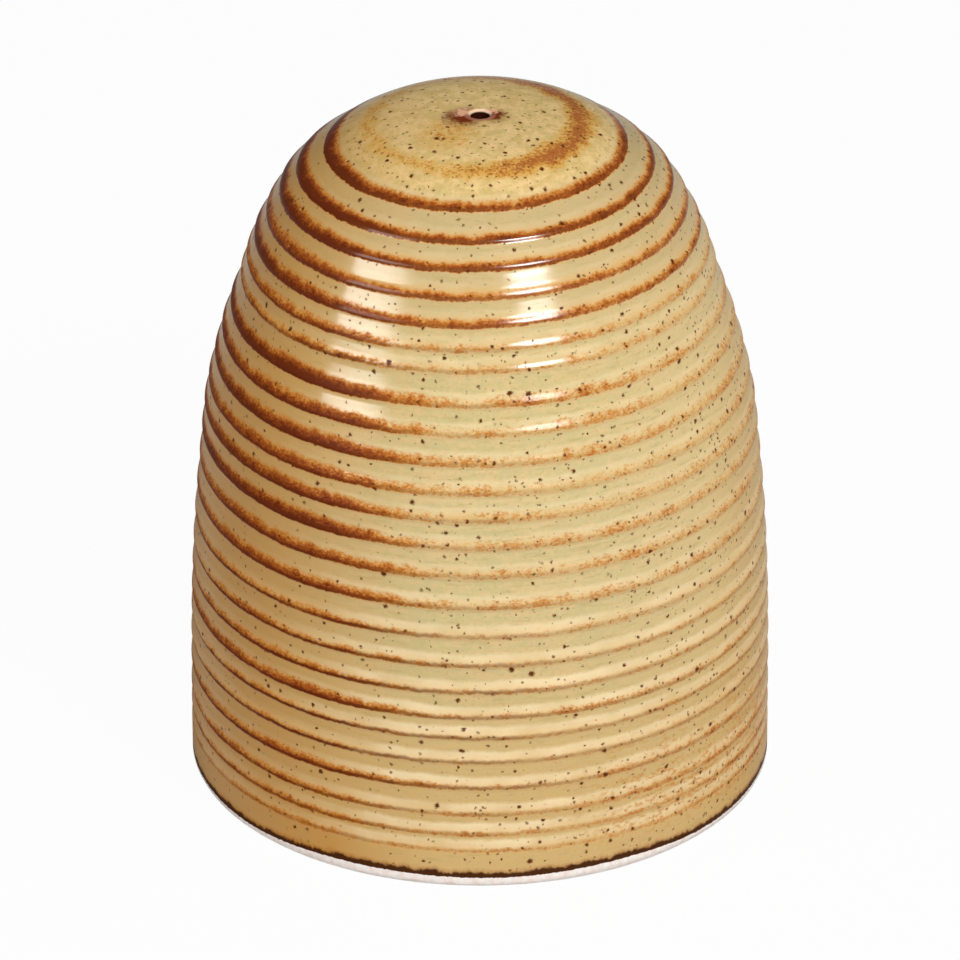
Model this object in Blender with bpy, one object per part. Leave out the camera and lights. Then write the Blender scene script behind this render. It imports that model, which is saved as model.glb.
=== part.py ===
"""Stoneware pepper shaker: a ringed dome of one fired shell, closed below by a pull-out stopper.

Units are metres and +Z is up. The origin is the centre of the foot, where it stands on the table.
"""
import math

import bmesh
import bpy

# Body: overall form
BODY_DIAMETER = 0.0625
BODY_HEIGHT = 0.076
STRAIGHT_WALL_HEIGHT = 0.0049
DOME_HEIGHT_POWER = 2.6
DOME_RADIUS_POWER = 3.2
WALL_THICKNESS = 0.0045
CROWN_THICKNESS = 0.005

# Body: turned rings, each flaring out to a crest at its lower edge
TOP_DISC_DIAMETER = 0.0314
RING_COUNT = 25
RING_STEP = 0.0007
TOP_RING_DEPTH = 0.00035
LOWEST_RING_DEPTH = 0.00015
PLAIN_BAND_HEIGHT = 0.004

# Body: sprinkle hole in the crown
SPRINKLE_HOLE_DIAMETER = 0.002
SPRINKLE_BEVEL = 0.001
SPRINKLE_BEVEL_DEPTH = 0.0006

# Body: foot, base and filling hole
FOOT_HEIGHT = 0.001
FOOT_INSET = 0.0005
FOOT_RING_WIDTH = 0.006
RECESS_DEPTH = 0.004
BASE_THICKNESS = 0.004
FLOOR_FILLET = 0.004
FILLING_HOLE_DIAMETER = 0.020

# Stopper
SEAT_CLEARANCE = 0.0003
PLUG_CLEARANCE = 0.0003
PLUG_OVERHANG = 0.0035
PLUG_WALL = 0.0016
PLUG_LEAD_IN = 0.0008
SEALING_RIB_COUNT = 3
SEALING_RIB_HEIGHT = 0.0005
SEALING_RIB_WIDTH = 0.0012
WEB_THICKNESS = 0.0018
FLANGE_LIP = 0.0025
FLANGE_THICKNESS = 0.0016
TAB_LENGTH = 0.0045
TAB_WIDTH = 0.008
TAB_STEP = 0.0002
GRIP_BAR_COUNT = 2
GRIP_BAR_LENGTH = 0.0048
GRIP_BAR_WIDTH = 0.0007
GRIP_BAR_HEIGHT = 0.0006
GRIP_BAR_PITCH = 0.0015
GRIP_BAR_MARGIN = 0.0015

# Fineness of the mesh
BODY_SEGMENTS = 48
STOPPER_SEGMENTS = 40
OUTLINE_SAMPLES = 400
DISC_POINTS = 6
INNER_WALL_POINTS = 14
ARC_POINTS = 5
SHARP_EDGE_ANGLE = math.radians(35)
MERGE_DISTANCE = 1e-7

BODY_RADIUS = BODY_DIAMETER / 2
FILLING_HOLE_RADIUS = FILLING_HOLE_DIAMETER / 2
FLOOR_HEIGHT = RECESS_DEPTH + BASE_THICKNESS


def dome_point(angle, radius, top):
    """One point of a dome's outline. Angle 0 is the top of the straight wall, a quarter turn the pole."""
    rise = math.sin(angle) ** (2 / DOME_HEIGHT_POWER)
    across = math.cos(angle) ** (2 / DOME_RADIUS_POWER)
    return radius * across, STRAIGHT_WALL_HEIGHT + rise * (top - STRAIGHT_WALL_HEIGHT)


def dome_angle(at_radius, radius):
    """The angle at which a dome's outline has narrowed to at_radius."""
    return math.acos((at_radius / radius) ** (DOME_RADIUS_POWER / 2))


def arc(centre, radius, start, end, count):
    """Points on a circle in the profile's plane, both ends included."""
    points = []
    for step in range(count + 1):
        angle = start + (end - start) * step / count
        points.append((centre[0] + radius * math.cos(angle), centre[1] + radius * math.sin(angle)))
    return points


class Outline:
    """The body's outer line through the ring crests, from the crown down, measured along the wall."""

    def __init__(self, first_radius):
        first_angle = dome_angle(first_radius, BODY_RADIUS)
        self.points = []
        for step in range(OUTLINE_SAMPLES + 1):
            angle = first_angle * (1 - step / OUTLINE_SAMPLES)
            self.points.append(dome_point(angle, BODY_RADIUS, BODY_HEIGHT))
        self.points.append((BODY_RADIUS, FOOT_HEIGHT))
        self.distances = [0.0]
        for before, after in zip(self.points, self.points[1:]):
            self.distances.append(self.distances[-1] + math.dist(before, after))
        self.length = self.distances[-1]

    def distance_to(self, radius):
        """How far down the wall the outline has widened to a radius."""
        index = 1
        while self.points[index][0] < radius:
            index += 1
        start = self.points[index - 1][0]
        share = (radius - start) / (self.points[index][0] - start)
        return self.distances[index - 1] + share * (self.distances[index] - self.distances[index - 1])

    def at(self, distance, depth=0.0):
        """The point at a distance down the wall, moved a depth into the clay."""
        index = 1
        while index < len(self.points) - 1 and self.distances[index] < distance:
            index += 1
        before = self.points[index - 1]
        after = self.points[index]
        stretch = self.distances[index] - self.distances[index - 1]
        share = (distance - self.distances[index - 1]) / stretch
        along = ((after[0] - before[0]) / stretch, (after[1] - before[1]) / stretch)
        radius = before[0] + (after[0] - before[0]) * share + along[1] * depth
        height = before[1] + (after[1] - before[1]) * share - along[0] * depth
        return radius, height


def ringed_wall():
    """The outside of the body, from the sprinkle hole's bevel to the glaze edge above the foot."""
    outline = Outline(SPRINKLE_HOLE_DIAMETER / 2 + SPRINKLE_BEVEL)
    disc_end = outline.distance_to(TOP_DISC_DIAMETER / 2)
    ring_pitch = (outline.length - PLAIN_BAND_HEIGHT - disc_end) / (RING_COUNT - 1)
    wall = []
    for step in range(DISC_POINTS):
        wall.append(outline.at(disc_end * step / DISC_POINTS))
    for ring in range(RING_COUNT):
        crest = disc_end + ring * ring_pitch
        depth = TOP_RING_DEPTH + (LOWEST_RING_DEPTH - TOP_RING_DEPTH) * ring / (RING_COUNT - 1)
        wall.append(outline.at(crest))
        wall.append(outline.at(crest + RING_STEP, depth))
    wall.append((BODY_RADIUS, FOOT_HEIGHT))
    print(f"{RING_COUNT} rings turned at a pitch of {ring_pitch * 1000:.2f} mm")
    return wall


def body_profile():
    """The closed outline that is turned into the body: outside, foot, base, chamber, sprinkle hole."""
    foot_radius = BODY_RADIUS - FOOT_INSET
    recess_radius = foot_radius - FOOT_RING_WIDTH
    chamber_radius = BODY_RADIUS - WALL_THICKNESS
    chamber_top = BODY_HEIGHT - CROWN_THICKNESS
    hole_radius = SPRINKLE_HOLE_DIAMETER / 2
    profile = ringed_wall()
    profile.append((foot_radius, 0.0))
    profile.append((recess_radius, 0.0))
    profile.append((recess_radius, RECESS_DEPTH))
    profile.append((FILLING_HOLE_RADIUS, RECESS_DEPTH))
    profile.append((FILLING_HOLE_RADIUS, FLOOR_HEIGHT))
    fillet_centre = (chamber_radius - FLOOR_FILLET, FLOOR_HEIGHT + FLOOR_FILLET)
    profile.extend(arc(fillet_centre, FLOOR_FILLET, -math.pi / 2, 0.0, ARC_POINTS))
    fillet_share = (fillet_centre[1] - STRAIGHT_WALL_HEIGHT) / (chamber_top - STRAIGHT_WALL_HEIGHT)
    first_angle = math.asin(fillet_share ** (DOME_HEIGHT_POWER / 2))
    last_angle = dome_angle(hole_radius, chamber_radius)
    for step in range(1, INNER_WALL_POINTS + 1):
        angle = first_angle + (last_angle - first_angle) * step / INNER_WALL_POINTS
        profile.append(dome_point(angle, chamber_radius, chamber_top))
    mouth_height = profile[0][1]
    profile.append((hole_radius, mouth_height - SPRINKLE_BEVEL_DEPTH))
    return profile


def stopper_profile():
    """The line that is turned into the stopper, from the hollow's floor round to the flange's underside.

    Height 0 is the flange's upper face, which seats under the base.
    """
    rib_radius = FILLING_HOLE_RADIUS - PLUG_CLEARANCE
    plug_radius = rib_radius - SEALING_RIB_HEIGHT
    hollow_radius = plug_radius - PLUG_WALL
    plug_top = SEAT_CLEARANCE + BASE_THICKNESS + PLUG_OVERHANG
    hollow_floor = WEB_THICKNESS - FLANGE_THICKNESS
    flange_radius = FILLING_HOLE_RADIUS + FLANGE_LIP
    profile = [(0.0, hollow_floor), (hollow_radius, hollow_floor), (hollow_radius, plug_top)]
    profile.append((plug_radius - PLUG_LEAD_IN, plug_top))
    profile.append((plug_radius, plug_top - PLUG_LEAD_IN))
    rib_spacing = (plug_top - PLUG_LEAD_IN) / SEALING_RIB_COUNT
    for rib in reversed(range(SEALING_RIB_COUNT)):
        middle = rib_spacing * (rib + 0.5)
        profile.append((plug_radius, middle + SEALING_RIB_WIDTH / 2))
        profile.append((rib_radius, middle + SEALING_RIB_WIDTH / 4))
        profile.append((rib_radius, middle - SEALING_RIB_WIDTH / 4))
        profile.append((plug_radius, middle - SEALING_RIB_WIDTH / 2))
    profile.append((plug_radius, 0.0))
    edge_radius = FLANGE_THICKNESS / 2
    edge_centre = (flange_radius - edge_radius, -edge_radius)
    profile.extend(arc(edge_centre, edge_radius, math.pi / 2, -math.pi / 2, ARC_POINTS))
    profile.append((0.0, -FLANGE_THICKNESS))
    return profile


def finished_object(name, shape, material):
    """A named object from a bmesh, shaded smooth with its real edges kept sharp."""
    mesh = bpy.data.meshes.new(name)
    shape.to_mesh(mesh)
    shape.free()
    mesh.shade_smooth()
    mesh.set_sharp_from_angle(angle=SHARP_EDGE_ANGLE)
    mesh.materials.append(material)
    piece = bpy.data.objects.new(name, mesh)
    bpy.context.scene.collection.objects.link(piece)
    return piece


def turned(name, profile, closed, segments, material):
    """Spin a profile of (radius, height) points about the Z axis into one closed solid."""
    shape = bmesh.new()
    corners = [shape.verts.new((radius, 0.0, height)) for radius, height in profile]
    lines = [shape.edges.new(pair) for pair in zip(corners, corners[1:])]
    if closed:
        lines.append(shape.edges.new((corners[-1], corners[0])))
    bmesh.ops.spin(
        shape,
        geom=corners + lines,
        axis=(0.0, 0.0, 1.0),
        cent=(0.0, 0.0, 0.0),
        angle=2 * math.pi,
        steps=segments,
        use_merge=True,
    )
    bmesh.ops.remove_doubles(shape, verts=shape.verts[:], dist=MERGE_DISTANCE)
    bmesh.ops.recalc_face_normals(shape, faces=shape.faces[:])
    return finished_object(name, shape, material)


def slab(name, outline, bottom, thickness, material):
    """A flat solid: an outline of (x, y) points, raised from its bottom by a thickness."""
    shape = bmesh.new()
    face = shape.faces.new([shape.verts.new((x, y, bottom)) for x, y in outline])
    raised = bmesh.ops.extrude_face_region(shape, geom=[face])
    upper = [item for item in raised["geom"] if isinstance(item, bmesh.types.BMVert)]
    bmesh.ops.translate(shape, vec=(0.0, 0.0, thickness), verts=upper)
    bmesh.ops.recalc_face_normals(shape, faces=shape.faces[:])
    return finished_object(name, shape, material)


def join_to(piece, addition):
    """Unite an addition with a piece, and leave the addition itself as a hidden guide."""
    addition.parent = piece
    addition.hide_render = True
    addition.display_type = 'WIRE'
    union = piece.modifiers.new(addition.name, 'BOOLEAN')
    union.operation = 'UNION'
    union.solver = 'EXACT'
    union.object = addition


def add_pull_tab(stopper, material):
    """A tongue on the flange's edge, with bars under it for a fingertip."""
    flange_radius = FILLING_HOLE_RADIUS + FLANGE_LIP
    tab_end = flange_radius + TAB_LENGTH
    half_width = TAB_WIDTH / 2
    round_end = arc((tab_end - half_width, 0.0), half_width, -math.pi / 2, math.pi / 2, 2 * ARC_POINTS)
    root = FILLING_HOLE_RADIUS
    outline = [(root, half_width), (root, -half_width)] + round_end
    tab_bottom = TAB_STEP - FLANGE_THICKNESS
    tab_thickness = FLANGE_THICKNESS - 2 * TAB_STEP
    join_to(stopper, slab("pull_tab_guide", outline, tab_bottom, tab_thickness, material))
    half_bar = GRIP_BAR_LENGTH / 2
    for bar in range(GRIP_BAR_COUNT):
        outer = tab_end - GRIP_BAR_MARGIN - bar * GRIP_BAR_PITCH
        inner = outer - GRIP_BAR_WIDTH
        outline = [(inner, -half_bar), (outer, -half_bar), (outer, half_bar), (inner, half_bar)]
        bar_bottom = tab_bottom - GRIP_BAR_HEIGHT
        bar_thickness = GRIP_BAR_HEIGHT + tab_thickness / 2
        join_to(stopper, slab(f"grip_bar_guide_{bar}", outline, bar_bottom, bar_thickness, material))


def plain_material(name, colour, roughness):
    """A Principled material of one colour."""
    material = bpy.data.materials.new(name)
    material.use_nodes = True
    surface = material.node_tree.nodes["Principled BSDF"]
    surface.inputs["Base Color"].default_value = (*colour, 1.0)
    surface.inputs["Roughness"].default_value = roughness
    surface.inputs["Metallic"].default_value = 0.0
    return material


def main():
    for leftover in list(bpy.data.objects):
        bpy.data.objects.remove(leftover)
    glaze = plain_material("glazed_stoneware", (0.63, 0.46, 0.21), 0.2)
    silicone = plain_material("silicone", (0.72, 0.69, 0.62), 0.55)
    body = turned("shaker_body", body_profile(), True, BODY_SEGMENTS, glaze)
    stopper = turned("base_stopper", stopper_profile(), False, STOPPER_SEGMENTS, silicone)
    stopper.parent = body
    stopper.location = (0.0, 0.0, RECESS_DEPTH - SEAT_CLEARANCE)
    add_pull_tab(stopper, silicone)


main()
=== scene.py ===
# %% [markdown]
# # A ringed stoneware pepper shaker
# The shaker is a thrown stoneware dome with about two dozen turned rings under a speckled,
# breaking glaze, and a soft stopper in its base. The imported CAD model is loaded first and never
# changed. Each of the two pieces below is a finer skin for one of its bodies, so both models share
# one frame and one size.

import math

import bmesh
import bpy
import numpy as np
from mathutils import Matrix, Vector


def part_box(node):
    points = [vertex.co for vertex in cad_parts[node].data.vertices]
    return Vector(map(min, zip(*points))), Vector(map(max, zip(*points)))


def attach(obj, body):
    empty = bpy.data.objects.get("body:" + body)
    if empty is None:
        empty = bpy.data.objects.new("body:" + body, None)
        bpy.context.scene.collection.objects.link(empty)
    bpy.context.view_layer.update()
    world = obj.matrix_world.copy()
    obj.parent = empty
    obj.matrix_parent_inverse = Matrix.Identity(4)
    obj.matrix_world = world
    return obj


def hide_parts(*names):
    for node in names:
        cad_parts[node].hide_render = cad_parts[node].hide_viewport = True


MM = 0.001

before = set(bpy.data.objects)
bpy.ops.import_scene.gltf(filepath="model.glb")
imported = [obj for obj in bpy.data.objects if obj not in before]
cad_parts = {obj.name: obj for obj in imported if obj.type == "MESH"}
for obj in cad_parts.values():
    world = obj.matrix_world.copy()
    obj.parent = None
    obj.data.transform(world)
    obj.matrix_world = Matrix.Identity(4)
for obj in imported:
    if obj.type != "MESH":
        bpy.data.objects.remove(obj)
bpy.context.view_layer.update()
body_low, body_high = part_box("shaker_body")
stopper_low, stopper_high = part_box("base_stopper")
BODY_RADIUS = body_high.x
BODY_HEIGHT = body_high.z
print(f"shaker {2000 * BODY_RADIUS:.1f} mm wide, {1000 * (body_high.z - body_low.z):.1f} mm tall")
print(f"stopper {1000 * (stopper_high.z - stopper_low.z):.1f} mm tall")

# %% [markdown]
# ## Node trees written as sums
# Shaders and Geometry Nodes are both trees of small sums. Adding each Math node by hand hides the
# idea, so one small class wraps an output socket: a sum on it adds the Math node, and `node` adds
# any other kind of node.

# %% A socket that does arithmetic
def find_socket(sockets, key):
    """A socket by its number, or by its identifier, or else by its name."""
    if isinstance(key, int):
        return sockets[key]
    for socket in sockets:
        if socket.identifier == key:
            return socket
    return sockets[key]


class Wire:
    """An output socket in a node tree. Arithmetic on it adds Math nodes to that tree."""

    def __init__(self, tree, socket=None):
        self.tree = tree
        self.socket = socket

    def node(self, kind, settings=None, sockets=None, output=0):
        """Add a node: its settings first, then its sockets' values or wires. Returns one output."""
        node = self.tree.nodes.new(kind)
        for name, value in (settings or {}).items():
            setattr(node, name, value)
        for key, value in (sockets or {}).items():
            socket = find_socket(node.inputs, key)
            if isinstance(value, Wire):
                self.tree.links.new(value.socket, socket)
            else:
                socket.default_value = value
        return Wire(self.tree, find_socket(node.outputs, output)) if node.outputs else None

    def output(self, key):
        """Another output of the node that this wire comes from."""
        return Wire(self.tree, find_socket(self.socket.node.outputs, key))

    def math(self, operation, *values):
        return self.node("ShaderNodeMath", {"operation": operation}, dict(enumerate(values)))

    def __add__(self, other):
        return self.math("ADD", self, other)

    def __radd__(self, other):
        return self.math("ADD", other, self)

    def __sub__(self, other):
        return self.math("SUBTRACT", self, other)

    def __rsub__(self, other):
        return self.math("SUBTRACT", other, self)

    def __mul__(self, other):
        return self.math("MULTIPLY", self, other)

    def __rmul__(self, other):
        return self.math("MULTIPLY", other, self)

    def __truediv__(self, other):
        return self.math("DIVIDE", self, other)

    def __rtruediv__(self, other):
        return self.math("DIVIDE", other, self)

    def __pow__(self, other):
        return self.math("POWER", self, other)

    def __mod__(self, other):
        return self.math("MODULO", self, other)

    def floor(self):
        return self.math("FLOOR", self)

    def fraction(self):
        return self.math("FRACT", self)

    def smaller(self, other):
        return self.math("MINIMUM", self, other)

    def larger(self, other):
        return self.math("MAXIMUM", self, other)

    def step(self, start, end):
        """0 at start and 1 at end, with an eased ramp between them; start may be the larger one."""
        ends = {"Value": self, "From Min": start, "From Max": end}
        return self.node("ShaderNodeMapRange", {"interpolation_type": "SMOOTHSTEP"}, ends, "Result")


print("wires ready")

# %% [markdown]
# ## The outline of the dome
# A thrown dome is close to a superellipse: upright at the foot, tight at the shoulder, nearly flat
# on top. Two powers give that curve, and a few slight swells give the hand's unevenness. The line is
# measured along the wall, from the pole down, because rings are spaced by the finger that drags
# along the clay.

# %% Wall line
STRAIGHT_WALL = 4.9 * MM
DOME_HEIGHT_POWER = 2.6
DOME_RADIUS_POWER = 3.2
WALL_SWELLS = (
    {"height": 73.0 * MM, "out": -0.25 * MM, "spread": 1.6 * MM},
    {"height": 68.8 * MM, "out": 0.25 * MM, "spread": 2.4 * MM},
    {"height": 56.7 * MM, "out": -0.37 * MM, "spread": 4.2 * MM},
    {"height": 43.5 * MM, "out": 0.22 * MM, "spread": 4.2 * MM},
)
SWELL_FADE_RADIUS = 10 * MM
WALL_SAMPLES = 6000
FOOT_HEIGHT = 0.6 * MM


def dome_line(angle, radius, top):
    """A dome's radius and height; angle 0 is the top of the straight wall, a quarter turn the pole."""
    rise = np.sin(angle) ** (2 / DOME_HEIGHT_POWER)
    across = np.cos(angle) ** (2 / DOME_RADIUS_POWER)
    return radius * across, STRAIGHT_WALL + rise * (top - STRAIGHT_WALL)


pole_to_wall = np.linspace(math.pi / 2, 0, WALL_SAMPLES)
wall_radius, wall_height = dome_line(pole_to_wall, BODY_RADIUS, BODY_HEIGHT)
for swell in WALL_SWELLS:
    away = (wall_height - swell["height"]) / swell["spread"]
    below_pole = np.minimum(wall_radius / SWELL_FADE_RADIUS, 1)
    wall_radius = wall_radius + swell["out"] * np.exp(-away ** 2) * below_pole
wall_radius = np.append(wall_radius, BODY_RADIUS)
wall_height = np.append(wall_height, FOOT_HEIGHT)
steps = np.hypot(np.diff(wall_radius), np.diff(wall_height))
wall_distance = np.append(0, np.cumsum(steps))
print(f"wall line {1000 * wall_distance[-1]:.1f} mm from the pole to the foot")

# %% [markdown]
# ## Where the rings are
# The rings were turned by hand, so their gaps differ. The gaps are given in millimetres from the
# first crest, at the edge of the top disc, down to the last faint one near the foot. Each crest also
# has a boldness: how much of the glaze ran off it in the kiln, which is what turns it brown.

# %% Crests
TOP_DISC_RADIUS = 15.7 * MM
LINE_TO_CREST = 0.10 * MM
RING_GAPS = (3.7, 3.0, 3.0, 3.0, 2.6, 2.3, 3.6, 3.1, 3.2, 3.1, 2.9, 3.1,
             3.3, 3.5, 3.3, 3.3, 3.1, 3.0, 2.4, 2.9, 3.1, 3.2, 2.4, 2.0)
RING_BOLDNESS = (1.0, 1.05, 1.0, 0.7, 0.9, 0.55, 0.4, 1.0, 0.8, 0.9, 0.7, 0.75, 0.9,
                 0.65, 0.7, 0.45, 0.45, 0.5, 0.65, 0.35, 0.35, 0.55, 0.5, 0.4, 0.25)

first_crest = np.interp(TOP_DISC_RADIUS, wall_radius[:-1], wall_distance[:-1])
first_crest += LINE_TO_CREST
crests = first_crest + MM * np.append(0, np.cumsum(RING_GAPS))
crest_heights = np.interp(crests, wall_distance, wall_height)
first_height, last_height = crest_heights[0] / MM, crest_heights[-1] / MM
print(f"{len(crests)} crests, from {first_height:.1f} to {last_height:.1f} mm high")

# %% [markdown]
# ## The rows of the outside
# A lathe needs one profile. Each row of the profile carries its place and, beside it, what the
# turning and the glaze need to know there: the ring it belongs to, how far it is through that ring,
# and how deep the ring is cut. Rows crowd together at each crest, because the sharp step under a
# crest is the smallest form on the wall.

# %% Rows from the sprinkle hole to the foot
FLARE_END = 0.97
RING_ROWS = (0.0, 0.04, 0.08, 0.12, 0.16, 0.26, 0.40, 0.54,
             0.66, 0.72, 0.77, 0.82, 0.87, 0.92, FLARE_END)
DEPTH_RINGS = (0, 2, 8, 20, 23)
DEPTHS_THERE = (0.10 * MM, 0.15 * MM, 0.15 * MM, 0.12 * MM, 0.05 * MM)
RING_LEAN = 0.032
LEAN_REACH = 28 * MM
BOLDNESS_CHANGE = 0.25
DISC_ROWS = 20
BAND_ROWS = 10
HOLE_RADIUS = 1.0 * MM
LIP_RADIUS = 1.25 * MM
LIP_OUTER_RADIUS = 2.3 * MM
MOUTH_LINE = (
    (1.00 * HOLE_RADIUS, -1.40 * MM, 0.0),
    (1.00 * HOLE_RADIUS, -0.50 * MM, 0.0),
    (1.02 * HOLE_RADIUS, -0.30 * MM, 0.0),
    (1.08 * HOLE_RADIUS, -0.12 * MM, 0.0),
    (1.16 * HOLE_RADIUS, -0.02 * MM, 0.0),
    (1.00 * LIP_RADIUS, 0.04 * MM, 0.5),
    (1.15 * LIP_RADIUS, 0.05 * MM, 1.0),
)
DISC_GAP = 3.0
MOUTH_PHASE = -6.0
BAND_END = 0.9

ROW_VALUES = ("along_r", "along_z", "phase", "gap", "boldness", "depth", "lean", "glazed",
              "distance")
rows = []


def add_row(radius, height, **values):
    """One row of the profile: its place, and its values where they aren't 0."""
    row = dict.fromkeys(ROW_VALUES, 0.0)
    row.update(values)
    row["place"] = (radius, 0.0, height)
    rows.append(row)


def add_wall_row(distance, **values):
    """A row on the wall line, which knows which way is down the wall."""
    radius = np.interp(distance, wall_distance, wall_radius)
    height = np.interp(distance, wall_distance, wall_height)
    near = 0.05 * MM
    ends = np.clip((distance - near, distance + near), wall_distance[0], wall_distance[-1])
    run = np.interp(ends, wall_distance, wall_radius)
    drop = np.interp(ends, wall_distance, wall_height)
    length = math.hypot(run[1] - run[0], drop[1] - drop[0])
    lean = RING_LEAN * math.exp(-((distance - first_crest) / LEAN_REACH) ** 2)
    values["along_r"] = (run[1] - run[0]) / length
    values["along_z"] = (drop[1] - drop[0]) / length
    add_row(radius, height, glazed=1.0, lean=lean, distance=distance / MM, **values)


def add_mouth_rows():
    """The bevelled mouth of the sprinkle hole and the low glaze lip round it."""
    mouth = {"gap": DISC_GAP, "phase": MOUTH_PHASE}
    for radius, over_crown, glazed in MOUTH_LINE:
        add_row(radius, BODY_HEIGHT + over_crown, glazed=glazed, **mouth)


add_mouth_rows()
disc_start = np.interp(LIP_OUTER_RADIUS, wall_radius[:-1], wall_distance[:-1])
for distance in np.linspace(disc_start, first_crest, DISC_ROWS, endpoint=False):
    phase = (distance - first_crest) / (DISC_GAP * MM)
    bold = RING_BOLDNESS[0] if phase > -1 else 0.0
    add_wall_row(distance, phase=phase, gap=DISC_GAP, boldness=bold)
for ring, gap in enumerate(RING_GAPS):
    ring_depth = np.interp(ring, DEPTH_RINGS, DEPTHS_THERE)
    for part in RING_ROWS:
        bold = RING_BOLDNESS[ring] if part < BOLDNESS_CHANGE else RING_BOLDNESS[ring + 1]
        distance = crests[ring] + part * gap * MM
        add_wall_row(distance, phase=ring + part, gap=gap, boldness=bold, depth=ring_depth)
last_phase = float(len(RING_GAPS))
band = (wall_distance[-1] - crests[-1]) / MM
for distance in np.linspace(crests[-1], wall_distance[-1], BAND_ROWS):
    phase = last_phase + BAND_END * (distance - crests[-1]) / (band * MM)
    bold = RING_BOLDNESS[-1] if phase < last_phase + BOLDNESS_CHANGE else 0.0
    add_wall_row(distance, phase=phase, gap=band, boldness=bold)
outside_rows = len(rows)
print(f"{outside_rows} rows outside")

# %% [markdown]
# ## Foot, base and chamber
# Under the glaze edge the clay is left bare, so that the pot doesn't stick to the kiln shelf. The
# foot is a flat ring round a recess; the base has the filling hole; the chamber inside follows the
# dome. Straight runs with small arcs at their corners are enough here, and the profile closes on
# itself at the sprinkle hole.

# %% Rows from the foot round the inside
FOOT_INSET = 0.5 * MM
FOOT_RING_WIDTH = 6.0 * MM
RECESS_DEPTH = 4.0 * MM
BASE_THICKNESS = 4.0 * MM
WALL_THICKNESS = 4.5 * MM
CROWN_THICKNESS = 5.0 * MM
FILLING_HOLE_RADIUS = 10.0 * MM
FLOOR_FILLET = 4.0 * MM
EDGE_ROUND = 0.35 * MM
INNER_ROWS = 22
BARE_PHASE = last_phase + 0.95


def rounded(corners):
    """A line through (radius, height, rounding) corners, each rounded by an arc of four chords."""
    points = []
    for index, (radius, height, rounding) in enumerate(corners):
        if rounding == 0 or index in (0, len(corners) - 1):
            points.append((radius, height))
            continue
        here = np.array((radius, height))
        before = np.array(corners[index - 1][:2]) - here
        after = np.array(corners[index + 1][:2]) - here
        entry = here + before / np.linalg.norm(before) * rounding
        leave = here + after / np.linalg.norm(after) * rounding
        for share in (0.0, 0.25, 0.5, 0.75, 1.0):
            bend = (1 - share) ** 2 * entry + 2 * share * (1 - share) * here + share ** 2 * leave
            points.append((bend[0], bend[1]))
    return points


foot_radius = BODY_RADIUS - FOOT_INSET
recess_radius = foot_radius - FOOT_RING_WIDTH
chamber_radius = BODY_RADIUS - WALL_THICKNESS
chamber_top = BODY_HEIGHT - CROWN_THICKNESS
floor_height = RECESS_DEPTH + BASE_THICKNESS
underside = rounded((
    (BODY_RADIUS, FOOT_HEIGHT, 0),
    (BODY_RADIUS - 0.08 * MM, FOOT_HEIGHT - 0.08 * MM, 0),
    (BODY_RADIUS - 0.15 * MM, FOOT_HEIGHT - 0.30 * MM, 0),
    (foot_radius, 0.0, 0.1 * MM),
    (foot_radius - FOOT_RING_WIDTH / 2, 0.0, 0),
    (recess_radius, 0.0, EDGE_ROUND),
    (recess_radius, RECESS_DEPTH, 1.2 * MM),
    (0.5 * (recess_radius + FILLING_HOLE_RADIUS), RECESS_DEPTH, 0),
    (FILLING_HOLE_RADIUS, RECESS_DEPTH, EDGE_ROUND),
    (FILLING_HOLE_RADIUS, floor_height, EDGE_ROUND),
    (0.5 * (chamber_radius + FILLING_HOLE_RADIUS), floor_height, 0),
    (chamber_radius, floor_height, FLOOR_FILLET),
    (chamber_radius, floor_height + 2 * FLOOR_FILLET, 0),
))
for radius, height in underside[1:-1]:
    add_row(radius, height, phase=BARE_PHASE, gap=band)
fillet_share = (floor_height + FLOOR_FILLET - STRAIGHT_WALL) / (chamber_top - STRAIGHT_WALL)
first_angle = math.asin(fillet_share ** (DOME_HEIGHT_POWER / 2))
last_angle = math.acos((HOLE_RADIUS / chamber_radius) ** (DOME_RADIUS_POWER / 2))
for angle in np.linspace(first_angle, last_angle, INNER_ROWS)[1:]:
    radius, height = dome_line(angle, chamber_radius, chamber_top)
    add_row(radius, height, phase=BARE_PHASE, gap=band)
print(f"{len(rows)} rows in all")

# %% [markdown]
# ## Turning the profile
# The shape of the body follows one rule, so Geometry Nodes turn it: a grid has one line of points
# for each row, and each point looks its row up and is set round the axis. Three things are added on
# the way, as on the wheel: each band flares out to a crest and steps back under it, the upper rings
# lean a little, and nothing is quite even.

# %% The turning tree
TURNING_INPUTS = {
    "Rows": "NodeSocketGeometry",
    "Segments": "NodeSocketInt",
    "Closed": "NodeSocketInt",
    "Crest Step": "NodeSocketFloat",
    "Flare Start": "NodeSocketFloat",
    "Wander": "NodeSocketFloat",
    "Unevenness": "NodeSocketFloat",
    "Out of Round": "NodeSocketFloat",
    "Seed": "NodeSocketFloat",
    "Finish": "NodeSocketMaterial",
}
KEPT_VALUES = {
    "ring_phase": "phase",
    "ring_gap": "gap",
    "ring_boldness": "boldness",
    "glazed": "glazed",
    "wall_distance": "distance",
}
MERGE_DISTANCE = 0.002 * MM


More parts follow.
